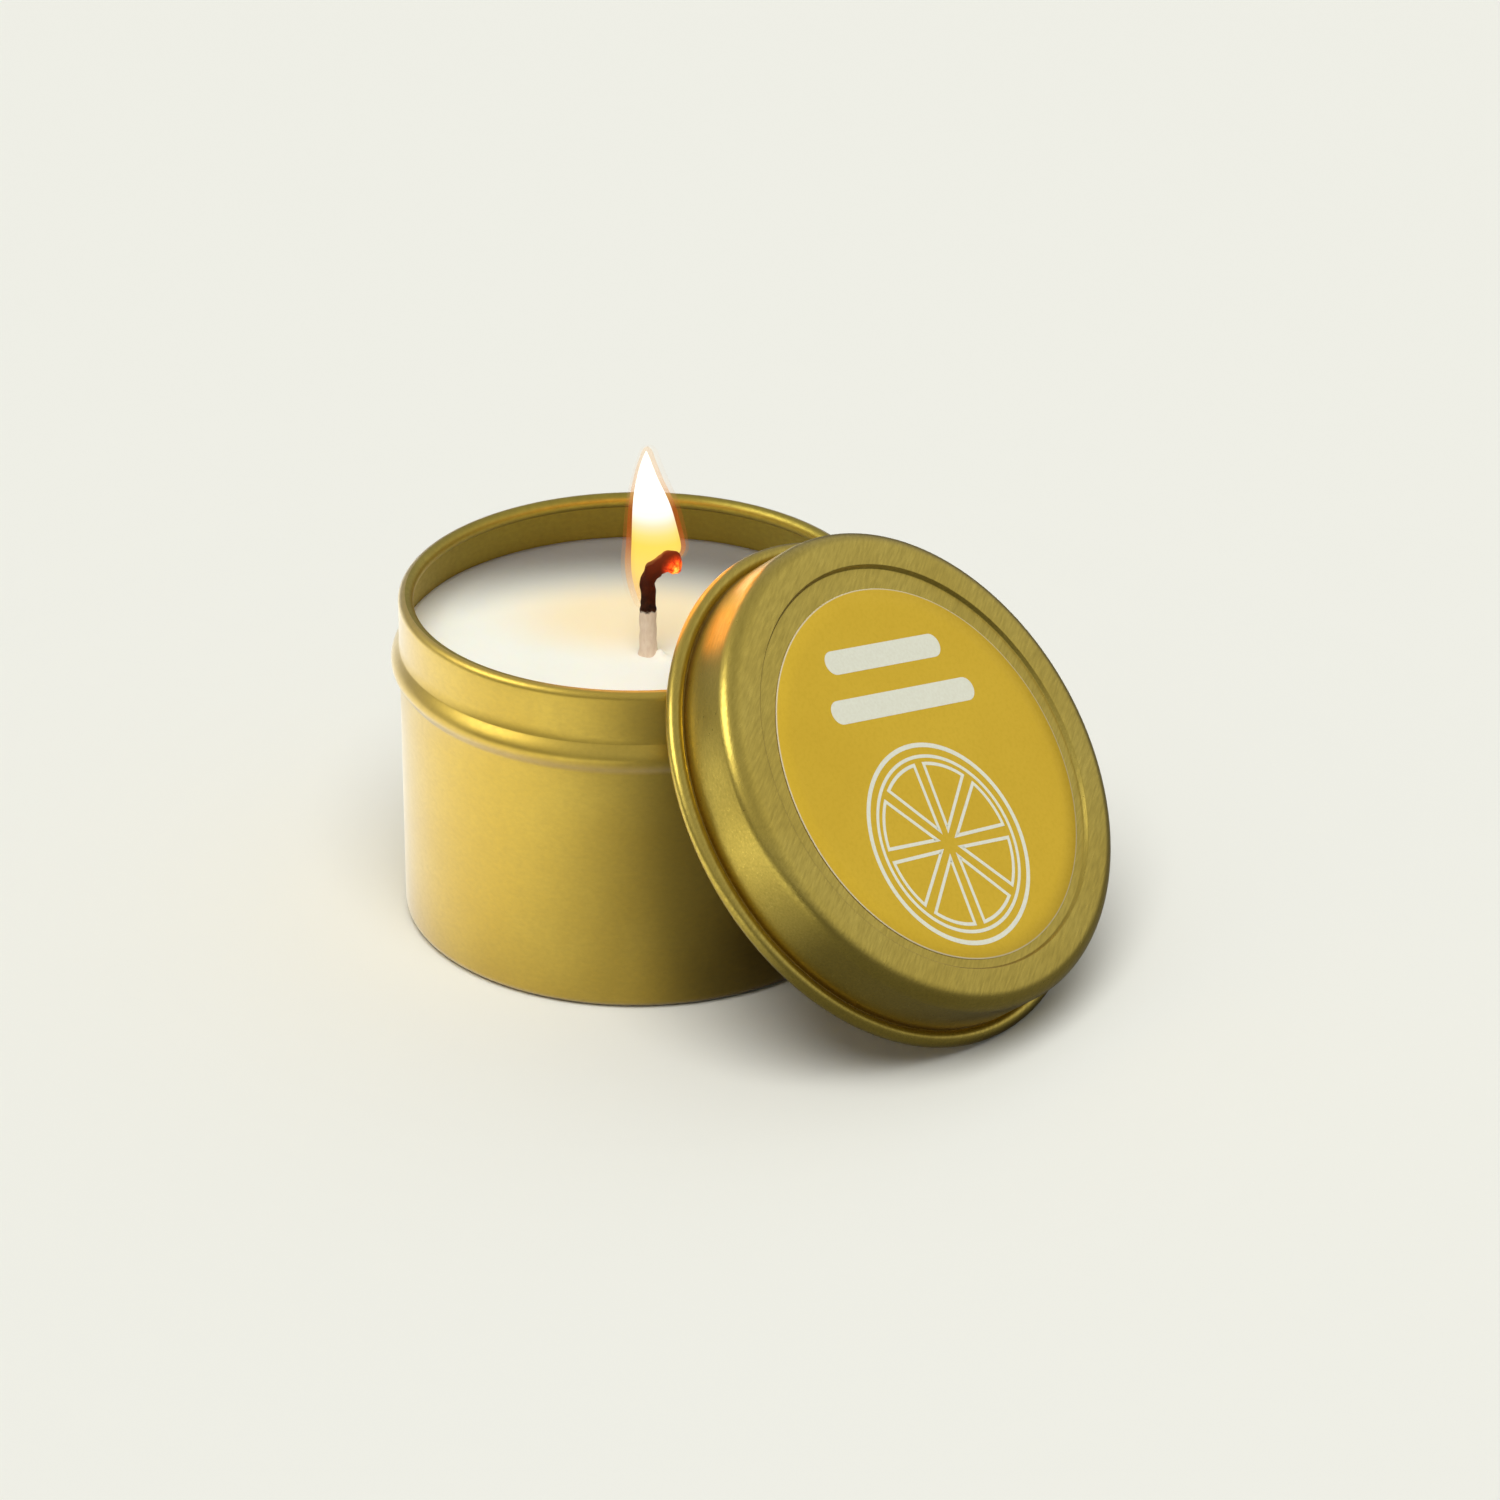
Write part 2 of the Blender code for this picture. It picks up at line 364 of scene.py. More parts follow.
def tinOutline():
    wall = tinHigh[0] - tin["beadOut"]
    height = tinHigh[2]
    corner = tin["footCorner"]
    sheet = tin["sheet"]
    roll = tin["rimRoll"]
    footOuter = wall - corner
    grooveOuter = footOuter - tin["footWidth"]
    grooveInner = grooveOuter - tin["grooveWidth"]
    slope, deep, steps = tin["grooveSlope"], tin["grooveDepth"], tin["grooveSteps"]
    # under the base, from the middle outwards, with the pressed groove's soft edges
    outline = [(poleRing, 0.0), (grooveInner * tin["baseRing"], 0.0)]
    for step in range(steps + 1):
        ease = (1 - cos(pi * step / steps)) / 2
        outline.append((grooveInner + slope * step / steps, deep * ease))
    for step in range(steps + 1):
        ease = (1 + cos(pi * step / steps)) / 2
        outline.append((grooveOuter - slope * (1 - step / steps), deep * ease))
    outline += arcPoints((footOuter, corner), corner, -90, 90, tin["cornerSteps"][0])
    # up the wall to the bead, over it, and on up the neck
    beadLow = height - tin["beadBelowRim"] - tin["beadHeight"] / 2
    for ring in range(1, tin["wallRings"]):
        outline.append((wall, corner + (beadLow - corner) * ring / tin["wallRings"]))
    for ring in range(tin["beadRings"] + 1):
        along = ring / tin["beadRings"]
        outline.append((wall + beadSwell(along), beadLow + tin["beadHeight"] * along))
    neckLow = beadLow + tin["beadHeight"]
    rollMiddle = (wall - roll, height - roll)
    for ring in range(1, tin["neckRings"]):
        outline.append((wall, neckLow + (rollMiddle[1] - neckLow) * ring / tin["neckRings"]))
    # the rim rolled inwards, until its edge nearly meets the wall
    outline += arcPoints(rollMiddle, roll, 0, tin["rollAngle"], tin["rollSteps"])
    inside = wall - sheet
    edgeHeight, wallTop = (rollMiddle[1] - roll * share for share in tin["rollReturn"])
    outline += [(inside - tin["rollEdge"], edgeHeight), (inside, wallTop)]
    outline += [(inside, height * share) for share in tin["insideRings"]]
    outline += arcPoints((footOuter, corner), corner - sheet, 0, -90, tin["cornerSteps"][1])
    # the floor inside, over the groove's raised back
    outline += [(grooveOuter, sheet), (grooveOuter - slope, deep + sheet)]
    outline += [(grooveInner + slope, deep + sheet), (grooveInner, sheet), (poleRing, sheet)]
    outline.append((0.0, sheet))
    return outline


def beadSwell(along):
    # how far the bead stands out, along its height from bottom to top
    even = (1 - cos(2 * pi * along)) / 2
    return tin["beadOut"] * even ** (tin["beadLedge"] if along > 0.5 else tin["beadUnder"])


def makeTin():
    body = turnPiece("tin_can", tinOutline(), tin["around"])
    body.data.materials.append(goldLacquer("goldTinplate", tinLook))
    body.data.materials.append(goldLacquer("goldTinplateShadedInside", tinShadedInsideLook))
    # faces inside the tin get the darker copy of the lacquer: painted shade
    for face in body.data.polygons:
        across = hypot(face.center.x, face.center.y)
        inward = face.normal.x * face.center.x + face.normal.y * face.center.y < 0
        if inward and across > tinHigh[0] * tin["insideFrom"]:
            face.material_index = 1
    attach(body, "tin")
    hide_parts("tin_body")


makeTin()
print("tin made")


lid = dict(
    around=192,
    sheet=0.00025,
    curl=0.0011,
    curlStart=150,          # degrees: the curl leaves the crease here
    curlSweep=-330,
    curlSteps=36,
    crease=1.6,             # the crease is this many curl radii up
    shoulder=0.0022,
    shoulderSteps=(16, 8),  # outside and inside
    skirtRings=(0.25, 0.5, 0.75, 0.97),
    insideRings=(0.3, 0.6, 0.95),
    ringWidth=0.0050,
    ringStarts=0.0006,
    stepWidth=0.0005,
    stepRound=0.00018,
    stepSteps=5,
    stepInside=0.0002,
    panelSink=0.0006,
    panelRings=(0.5, 0.97),
    grainTurn=radians(-63),
)


def lidOutline():
    top = lidHeight
    curl = lid["curl"]
    inside = lidCurlOut - 2 * curl
    skirt = inside + lid["sheet"]
    shoulder = lid["shoulder"]
    ringInner = skirt - lid["ringWidth"]
    panel = top - lid["panelSink"]
    panelOuter = ringInner - lid["stepWidth"]
    panelUnder, ringUnder = panel - lid["sheet"], top - lid["sheet"]
    # over the top, from the middle outwards: panel, soft step, flat ring, shoulder
    outline = [(poleRing, panel)] + [(panelOuter * share, panel) for share in lid["panelRings"]]
    slope = degrees(atan2(lid["panelSink"], lid["stepWidth"]))
    bend = lid["stepRound"]
    outline += arcPoints((panelOuter, panel + bend), bend, -90, slope, lid["stepSteps"])
    outline += arcPoints((ringInner, top - bend), bend, 90 + slope, -slope, lid["stepSteps"])
    outline.append((ringInner + lid["ringStarts"], top))
    skirtTop = top - shoulder
    outline += arcPoints((skirt - shoulder, skirtTop), shoulder, 90, -90, lid["shoulderSteps"][0])
    # down the skirt to the crease, then round the curl
    fall = skirtTop - curl * lid["crease"]
    outline += [(skirt, skirtTop - fall * share) for share in lid["skirtRings"]]
    outline += arcPoints((inside + curl, curl), curl, lid["curlStart"], lid["curlSweep"], lid["curlSteps"])
    # back up the inside
    outline += [(inside, curl + (skirtTop - curl) * share) for share in lid["insideRings"]]
    under = shoulder - lid["sheet"]
    outline += arcPoints((inside - under, ringUnder - under), under, 0, 90, lid["shoulderSteps"][1])
    outline += [(ringInner + lid["stepInside"], ringUnder), (panelOuter, panelUnder)]
    outline += [(panelOuter * lid["panelRings"][0], panelUnder), (poleRing, panelUnder), (0.0, panelUnder)]
    return outline


def makeLid():
    shell = turnPiece("slip_lid", lidOutline(), lid["around"])
    settle(shell, lidPlace)
    grainPlace = lidPlace @ Matrix.Rotation(lid["grainTurn"], 4, "Z")
    shell.data.materials.append(goldLacquer("brushedLidPlate", lidLook, grainPlace))
    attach(shell, "lid")
    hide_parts("lid_shell")


makeLid()
print("lid made")


sticker = dict(
    around=160,
    radius=0.02525,
    thickness=0.00014,
    offCentre=0.0009,
    edge=0.00012,
    colour=(0.66, 0.435, 0.033),
    cloudColour=(0.625, 0.405, 0.028),
    cloudScale=60,
    fleckColour=(0.54, 0.34, 0.022),
    fleckScale=1800,
    fleckRange=(0.45, 0.75),
    fleckShade=0.35,
    cutColour=(0.72, 0.66, 0.48),       # the paper that shows at the cut edge
    cutBand=(0.00022, 0.0001),          # this far in from the edge it starts, and is full
    cutShade=0.75,
    roughness=(0.42, 0.55),
    shine=0.2,
)


def stickerPlace():
    low = Matrix.Translation((0, -sticker["offCentre"], lidHeight - lid["panelSink"]))
    return lidPlace @ low


def stickerPaper():
    material, tree, shader = newMaterial("goldStickerPaper")
    coords = pieceCoords(tree, stickerPlace())
    fibre = addNoise(tree, coords, sticker["fleckScale"], 3, 0.6)
    cloud = addNoise(tree, coords, sticker["cloudScale"], 2, 0.5)
    clouded = remap(tree, cloud, *noiseRange, 0, 1)
    colour = mixColours(tree, clouded, sticker["colour"], sticker["cloudColour"])
    fleck = remap(tree, fibre, *sticker["fleckRange"], 0, sticker["fleckShade"])
    flecked = mixColours(tree, fleck, colour, sticker["fleckColour"])
    across = addNode(tree, "ShaderNodeVectorMath", operation="LENGTH")
    flat = addNode(tree, "ShaderNodeVectorMath", operation="MULTIPLY")
    flat.inputs[1].default_value = (1, 1, 0)
    tree.links.new(coords, flat.inputs[0])
    tree.links.new(flat.outputs["Vector"], across.inputs[0])
    cutStart, cutFull = (sticker["radius"] - inwards for inwards in sticker["cutBand"])
    cut = remap(tree, across.outputs["Value"], cutStart, cutFull, 0, sticker["cutShade"])
    tree.links.new(mixColours(tree, cut, flecked, sticker["cutColour"]), shader.inputs["Base Color"])
    tree.links.new(remap(tree, fibre, *noiseRange, *sticker["roughness"]), shader.inputs["Roughness"])
    setInputs(shader, Specular_IOR_Level=sticker["shine"])
    addBump(tree, shader, fibre, 0.12, 0.00001)
    return material


def makeSticker():
    radius, thick, edge = sticker["radius"], sticker["thickness"], sticker["edge"]
    outline = [(poleRing, 0.0), (radius - edge, 0.0), (radius, edge * 0.4), (radius, thick - edge * 0.6)]
    outline += [(radius - edge * 0.4, thick), (radius * 0.9, thick), (poleRing, thick), (0.0, thick)]
    disc = turnPiece("lid_sticker", outline, sticker["around"])
    settle(disc, stickerPlace())
    disc.data.materials.append(stickerPaper())
    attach(disc, "lid")
    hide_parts("lid_label")


art = dict(
    turn=radians(-15),
    ink=0.00003,            # how thick the ink lies
    inkSunk=0.000005,
    inkColour=(0.80, 0.80, 0.655),
    inkCloud=(0.76, 0.75, 0.60),
    inkScale=2500,
    inkRoughness=(0.45, 0.6),
    sharpAngle=radians(30),
    bars=(                  # where a name would be: left end, middle height and length
        dict(name="bar_upper", left=-0.0109, middle=0.0163, length=0.0215),
        dict(name="bar_lower", left=-0.0131, middle=0.0098, length=0.0268),
    ),
    barHeight=0.0032,
    barRound=0.499,         # the ends' rounding, as a share of the height
    barSteps=10,
)


def printedBar(name, left, middle, length):
    # a plain rounded bar of ink
    selectNone()
    bpy.ops.mesh.primitive_cube_add(size=1, location=(0, 0, 0))
    bar = startPiece(name)
    bpy.ops.transform.resize(value=(length, art["barHeight"], art["ink"]))
    bpy.ops.mesh.select_mode(type="EDGE")
    bpy.ops.mesh.select_all(action="DESELECT")
    bpy.ops.object.mode_set(mode="OBJECT")
    # only the four upright edges are rounded
    for edge in bar.data.edges:
        ends = [bar.data.vertices[index].co for index in edge.vertices]
        edge.select = hypot(ends[0].x - ends[1].x, ends[0].y - ends[1].y) < art["ink"] / 2
    bpy.ops.object.mode_set(mode="EDIT")
    bpy.ops.mesh.bevel(offset=art["barHeight"] * art["barRound"], segments=art["barSteps"], affect="EDGES")
    bpy.ops.mesh.select_all(action="SELECT")
    bpy.ops.transform.translate(value=(left + length / 2, middle, 0))
    return closePiece(bar, art["sharpAngle"])


def outlineShape(shape, line):
    # keeps only a band of the given width inside a flat face, and gives it the ink's thickness
    bpy.ops.mesh.select_mode(type="FACE")
    bpy.ops.mesh.select_all(action="SELECT")
    bpy.ops.mesh.inset(thickness=line, depth=0)
    bpy.ops.mesh.delete(type="FACE")
    bpy.ops.mesh.select_all(action="SELECT")
    bpy.ops.mesh.extrude_region_move(TRANSFORM_OT_translate={"value": (0, 0, art["ink"])})
    fixNormals()
    bpy.ops.mesh.select_all(action="SELECT")
    bpy.ops.transform.translate(value=(0, 0, -art["ink"] / 2))
    return closePiece(shape, art["sharpAngle"])


citrus = dict(
    middle=(-0.0014, -0.0096, 0),
    around=128,
    peel=0.0137,
    pith=0.0121,
    segment=0.0111,
    segmentFoot=0.0014,
    segments=8,
    sideCuts=9,
    sideReach=0.00001,      # vertices this near to the outer side are on it
    gap=radians(7),
    thickLine=0.00062,
    thinLine=0.00046,
)


def printedRing(name, radius, line):
    selectNone()
    bpy.ops.mesh.primitive_circle_add(vertices=citrus["around"], radius=radius, fill_type="NGON")
    return outlineShape(startPiece(name), line)


def printedSegment(name, turn):
    # one wedge of the fruit: a triangle with its outer side bulged, then only its outline
    selectNone()
    wide = 2 * pi / citrus["segments"] - citrus["gap"]
    bpy.ops.mesh.primitive_circle_add(vertices=3, radius=citrus["segment"], fill_type="NGON")
    wedge = startPiece(name)
    bpy.ops.object.mode_set(mode="OBJECT")
    tip, left, right = wedge.data.vertices
    tip.co = (citrus["segmentFoot"], 0, 0)
    outerX, outerY = citrus["segment"] * cos(wide / 2), citrus["segment"] * sin(wide / 2)
    left.co = (outerX, outerY, 0)
    right.co = (outerX, -outerY, 0)
    bpy.ops.object.mode_set(mode="EDIT")
    # the outer side bulges to the round of the fruit
    bpy.ops.mesh.select_mode(type="EDGE")
    bpy.ops.mesh.select_all(action="SELECT")
    bpy.ops.mesh.subdivide(number_cuts=citrus["sideCuts"])
    bpy.ops.object.mode_set(mode="OBJECT")
    for vertex in wedge.data.vertices:
        if abs(vertex.co.x - outerX) < citrus["sideReach"]:
            vertex.co.x = sqrt(citrus["segment"] ** 2 - vertex.co.y ** 2)
    bpy.ops.object.mode_set(mode="EDIT")
    bpy.ops.mesh.select_all(action="SELECT")
    bpy.ops.mesh.dissolve_faces()
    shape = outlineShape(wedge, citrus["thinLine"])
    shape.rotation_euler = (0, 0, turn)
    applyPlace(shape)
    return shape


def makePrint():
    # two plain bars where a name would be, and a round of citrus in line
    bars = [printedBar(**bar) for bar in art["bars"]]
    fruit = [printedRing("peel", citrus["peel"], citrus["thickLine"])]
    fruit.append(printedRing("pith", citrus["pith"], citrus["thinLine"]))
    for number in range(citrus["segments"]):
        fruit.append(printedSegment("segment", 2 * pi * (number + 0.5) / citrus["segments"]))
    for shape in fruit:
        shape.location = citrus["middle"]
        applyPlace(shape)
    ink = joinPieces("sticker_print", bars + fruit)
    onTop = Matrix.Translation((0, 0, sticker["thickness"] + art["ink"] / 2 - art["inkSunk"]))
    settle(ink, stickerPlace() @ Matrix.Rotation(art["turn"], 4, "Z") @ onTop)
    material, tree, shader = newMaterial("paleInk")
    speckle = addNoise(tree, pieceCoords(tree), art["inkScale"], 2, 0.5)
    clouded = remap(tree, speckle, *noiseRange, 0, 1)
    colour = mixColours(tree, clouded, art["inkColour"], art["inkCloud"])
    tree.links.new(colour, shader.inputs["Base Color"])
    tree.links.new(remap(tree, speckle, *noiseRange, *art["inkRoughness"]), shader.inputs["Roughness"])
    ink.data.materials.clear()
    ink.data.materials.append(material)
    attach(ink, "lid")


makeSticker()
makePrint()
print("sticker made")


wax = dict(
    around=160,
    rings=56,
    poleRing=0.001,
    wallGap=0.00005,
    edgeBand=0.003,
    dish=0.0010,
    meniscus=0.0005,
    meniscusReach=0.0012,
    skin=0.001,             # only this much of the top is shaped
    ripples=((90, 0.00012), (320, 0.00003)),    # how fine, and how high
    crumb=0.0010,           # a crumb has set beside the wick
    crumbPlace=(0.0016, -0.0006),
    crumbReach=0.0007,
    climb=0.5,              # the wax climbs at the wick by this share of the crumb
    climbReach=0.0015,
    colour=(0.885, 0.895, 0.80),
    cloudColour=(0.855, 0.865, 0.765),
    cloudScale=55,
    fineScale=900,
    # painted shade: the wax darkens towards the tin's wall, most at the back, as if the wall shadowed it
    paintedShadeColour=(0.23, 0.22, 0.20),
    paintedShadeMiddle=(-0.004, -0.016, 0.0),    # measured from here, the wall's painted shade gathers at the back
    paintedShadeReach=(0.0285, 0.0440),
    # painted flame light: the wax is warmer and brighter round the flame
    paintedFlameLightColour=(0.90, 0.765, 0.50),
    paintedFlameLightOffset=(-0.002, 0.0115),
    paintedFlameLightSquash=0.65,
    paintedFlameLightReach=(0.004, 0.0150),
    # painted light: the wax glows in its own colour, most where it is not in painted shade
    glow=0.10,
    roughness=(0.38, 0.5),
)


def waxOutline():
    outer = tinHigh[0] - tin["beadOut"] - tin["sheet"] - wax["wallGap"]
    low, level = waxLow[2], waxHigh[2]
    outline = [(wax["poleRing"], low), (outer / 2, low), (outer, low)]
    outline += [(outer, (low + level) / 2), (outer, level - wax["edgeBand"])]
    for ring in range(wax["rings"] + 1):
        across = outer * (1 - ring / wax["rings"])
        share = across / outer
        climb = wax["meniscus"] * exp(-(outer - across) / wax["meniscusReach"])
        outline.append((max(across, 0.0), level - wax["dish"] * (1 - share ** 2) + climb))
    return outline


def waxMaterial():
    # milky wax that light soaks into, with painted flame light that makes it warmer and brighter round the
    # flame, painted shade at the back, and a faint painted glow
    material, tree, shader = newMaterial("pouredWax")
    coords = pieceCoords(tree)
    cloud = addNoise(tree, coords, wax["cloudScale"], 3, 0.5)
    fine = addNoise(tree, coords, wax["fineScale"], 3, 0.6)
    # painted flame light round the wick, squashed sideways
    right, behind = wax["paintedFlameLightOffset"]
    paintedFlameLightPlace = (wax["paintedFlameLightSquash"] * (wickPlace.x + right), wickPlace.y + behind, 0)
    squashed = pieceCoords(tree, None, (wax["paintedFlameLightSquash"], 1, 0))
    flameLightShare = fadeFrom(tree, squashed, paintedFlameLightPlace, wax["paintedFlameLightReach"])
    clouded = remap(tree, cloud, *noiseMiddle, 0, 1)
    plain = mixColours(tree, clouded, wax["colour"], wax["cloudColour"])
    # painted shade from the tin's wall: lit is 1 in the open and falls to 0 towards the back
    lit = fadeFrom(tree, pieceCoords(tree, None, (1, 1, 0)), wax["paintedShadeMiddle"], wax["paintedShadeReach"])
    withFlameLight = mixColours(tree, flameLightShare, plain, wax["paintedFlameLightColour"])
    shaded = mixColours(tree, lit, wax["paintedShadeColour"], withFlameLight)
    tree.links.new(shaded, shader.inputs["Base Color"])
    # painted light: the wax glows with its painted colour, as strong as its lit share allows
    tree.links.new(shaded, shader.inputs["Emission Color"])
    tree.links.new(remap(tree, fine, *noiseRange, *wax["roughness"]), shader.inputs["Roughness"])
    setInputs(shader, Subsurface_Weight=0.25, Subsurface_Scale=0.003)
    shader.inputs["Subsurface Radius"].default_value = (1.0, 0.7, 0.35)
    tree.links.new(remap(tree, lit, 0, 1, 0, wax["glow"]), shader.inputs["Emission Strength"])
    addBump(tree, shader, fine, 0.1, 0.00003)
    return material


def makeWax():
    fill = turnPiece("poured_wax", waxOutline(), wax["around"])

    def wander(point):
        if point.z < waxHigh[2] - wax["dish"] - wax["skin"]:
            return point
        drift = sum(noise.noise(point * scale) * high for scale, high in wax["ripples"])
        right, back = point.x - wickPlace.x, point.y - wickPlace.y
        fromCrumb = hypot(right - wax["crumbPlace"][0], back - wax["crumbPlace"][1])
        climb = wax["climb"] * exp(-(hypot(right, back) / wax["climbReach"]) ** 2)
        climb += exp(-(fromCrumb / wax["crumbReach"]) ** 2)
        return point + Vector((0, 0, drift + wax["crumb"] * climb))

    moveVertices(fill, wander)
    fill.data.materials.append(waxMaterial())
    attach(fill, "tin")
    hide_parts("wax_fill")


makeWax()
print("wax made")


wickPlan = dict(
    around=30,
    ringStep=0.00018,
    paleRadius=0.00112,
    charRadius=0.00095,
    foot=0.0015,
    hookRadius=0.0036,
    hookAngle=radians(88),
    hookThick=0.32,         # the char fattens by this share along the hook
    tipLength=0.0010,
    charStarts=0.0066,
    charFade=0.0006,
    charLumps=0.22,
    lumpScale=(700, 900),   # across and along the wick
    strands=3,
    plaitTwist=2400,        # radians to the metre
    plaitRelief=(0.035, 0.08),      # on the pale foot and on the char
    emberLength=0.0024,
    emberSwell=0.25,
    emberSwellEarly=1.2,
    emberDroop=0.0004,
    tipRound=0.0006,
    tipBlunt=0.1,
    flare=0.00025,
    flareReach=0.0007,
    flareLobes=0.25,
    sway=0.00025,
    swayScale=260,
)
wickLook = dict(
    pale=(0.87, 0.71, 0.55),
    paleShade=(0.79, 0.61, 0.46),
    char=(0.014, 0.004, 0.0015),
    charCrust=(0.055, 0.012, 0.003),
    # painted glow: the char reddens towards the burning tip
    charPaintedGlow=(0.19, 0.022, 0.003),
    crustScale=1500,
    crustRange=(0.35, 0.7),
    strandScale=3200,
    paintedGlowUnder=0.001,
    paintedGlowReach=(0.001, 0.0085),
    burnWobble=0.0012,
    burnEdge=(0.0004, 0.0008),
    roughness=(0.45, 0.85),
    emberInset=(0.0010, 0.0010, 0.0020),    # in from the hook's end, towards the front and down
    emberReach=(0.0002, 0.0022),
    emberColours=((0.0, (0.0, 0.0, 0.0)), (0.40, (0.60, 0.035, 0.006)), (0.75, (1.0, 0.16, 0.015)),
                  (1.0, (1.0, 0.55, 0.07))),
    crackRange=(0.35, 0.6),
    crackLight=(0.35, 1.2),
    emberLight=1.3,
    shine=0.15,
)
waxMiddle = waxHigh[2] - wax["dish"]
hookHeight = wickHigh[2] - wickPlan["charRadius"] * (1 + wickPlan["hookThick"]) - wickPlan["hookRadius"]
straight = hookHeight - (waxMiddle - wickPlan["foot"])
wickLength = straight + wickPlan["hookRadius"] * wickPlan["hookAngle"] + wickPlan["tipLength"]


def wickFrame(along):
    # the point on the wick's line, and which way it heads there, at a length up from its foot
    low = waxMiddle - wickPlan["foot"]
    radius = wickPlan["hookRadius"]
    if along <= straight:
        return Vector((0, 0, low + along)), 0.0
    angle = min((along - straight) / radius, wickPlan["hookAngle"])
    beyond = max(along - straight - radius * wickPlan["hookAngle"], 0)
    point = Vector((radius * (1 - cos(angle)), 0, hookHeight + radius * sin(angle)))
    return point + Vector((sin(angle), 0, cos(angle))) * beyond, angle


def between(value, start, length):
    # 0 before the start, 1 after the length, and straight in between
    return min(max((value - start) / length, 0), 1)


def wickSkin(point):
    # turns the straight cord's vertex into the braided, waxed and burnt wick's
    along, across = point.z, hypot(point.x, point.y)
    out = Vector((point.x, point.y, 0)).normalized()
    around = atan2(point.y, point.x)
    above = along - wickPlan["foot"]
    char = between(above, wickPlan["charStarts"], wickPlan["charFade"])
    twist, turn = along * wickPlan["plaitTwist"], wickPlan["strands"] * around
    plait = max(cos(turn + twist), cos(turn - twist))
    paleRelief, charRelief = wickPlan["plaitRelief"]
    radius = wickPlan["paleRadius"] * (1 + paleRelief * plait) * (1 - char)
    fine, long = wickPlan["lumpScale"]
    lumps = wickPlan["charLumps"] * noise.noise(Vector((point.x * fine, point.y * fine, along * long)))
    centre, lean = wickFrame(along)
    fat = 1 + wickPlan["hookThick"] * lean / wickPlan["hookAngle"]
    radius += wickPlan["charRadius"] * fat * (1 + charRelief * plait + lumps) * char
    lobes = 1 + wickPlan["flareLobes"] * cos(around * 2 + 1)
    radius += wickPlan["flare"] * exp(-max(above, 0) / wickPlan["flareReach"]) * lobes
    # the burning end swells and droops
    droop = between(along, wickLength - wickPlan["emberLength"], wickPlan["emberLength"])
    radius *= 1 + wickPlan["emberSwell"] * sin(pi * min(droop * wickPlan["emberSwellEarly"], 1))
    tip = between(along, wickLength - wickPlan["tipRound"], wickPlan["tipRound"])
    blunt = wickPlan["tipBlunt"]
    radius *= sqrt(1 - tip ** 2) * (1 - blunt) + blunt
    at = along * wickPlan["swayScale"]
    sway = Vector((noise.noise(Vector((0, 3, at))), noise.noise(Vector((7, 0, at))), 0)) * wickPlan["sway"]
    offset = Matrix.Rotation(lean, 3, "Y") @ (out * (radius * (across / wickPlan["paleRadius"])))
    drop = Vector((0, 0, -wickPlan["emberDroop"] * droop))
    return wickPlace + centre + offset + drop + sway * char


def wickMaterial():
    # primed cotton at the foot, charred above it with a painted red glow on the char near the tip, and
    # glowing where the tip burns
    material, tree, shader = newMaterial("waxedAndBurntCotton")
    coords = pieceCoords(tree)
    split = addNode(tree, "ShaderNodeSeparateXYZ")
    tree.links.new(coords, split.inputs[0])
    strands = addNoise(tree, pieceCoords(tree, None, (1, 1, 0.25)), wickLook["strandScale"], 3, 0.6)
    crust = addNoise(tree, coords, wickLook["crustScale"], 4, 0.65)
    charLevel = waxMiddle + wickPlan["charStarts"]
    wobble = addNode(tree, "ShaderNodeMath", operation="MULTIPLY_ADD")
    wobble.inputs[1].default_value = wickLook["burnWobble"]
    tree.links.new(crust, wobble.inputs[0])
    tree.links.new(split.outputs["Z"], wobble.inputs[2])
    edgeLow, edgeHigh = (charLevel + edge for edge in wickLook["burnEdge"])
    burnt = remap(tree, wobble.outputs[0], edgeLow, edgeHigh, 0, 1, smooth=True)
    shaded = remap(tree, strands, *noiseMiddle, 0, 1)
    pale = mixColours(tree, shaded, wickLook["pale"], wickLook["paleShade"])
    # painted glow: the char turns red near the tip
    paintedGlowPlace = (wickHigh[0], wickPlace.y, wickHigh[2] - wickLook["paintedGlowUnder"])
    paintedGlowShare = fadeFrom(tree, coords, paintedGlowPlace, wickLook["paintedGlowReach"])
    crusted = remap(tree, crust, *wickLook["crustRange"], 0, 1)
    dull = mixColours(tree, crusted, wickLook["char"], wickLook["charCrust"])
    char = mixColours(tree, paintedGlowShare, dull, wickLook["charPaintedGlow"])
    tree.links.new(mixColours(tree, burnt, pale, char), shader.inputs["Base Color"])
    tree.links.new(remap(tree, burnt, 0, 1, *wickLook["roughness"]), shader.inputs["Roughness"])
    # the ember sits under the hook's end
    inset, forwards, under = wickLook["emberInset"]
    emberPlace = (wickHigh[0] - inset, wickPlace.y - forwards, wickHigh[2] - under)
    ember = fadeFrom(tree, coords, emberPlace, wickLook["emberReach"])
    cracked = addNode(tree, "ShaderNodeMath", operation="MULTIPLY")
    tree.links.new(ember, cracked.inputs[0])
    cracks = remap(tree, crust, *wickLook["crackRange"], *wickLook["crackLight"])
    tree.links.new(cracks, cracked.inputs[1])
    glow = addRamp(tree, cracked.outputs[0], wickLook["emberColours"])
    tree.links.new(glow, shader.inputs["Emission Color"])
    setInputs(shader, Emission_Strength=wickLook["emberLight"], Specular_IOR_Level=wickLook["shine"])
    addBump(tree, shader, strands, 0.4, 0.00008)
    return material


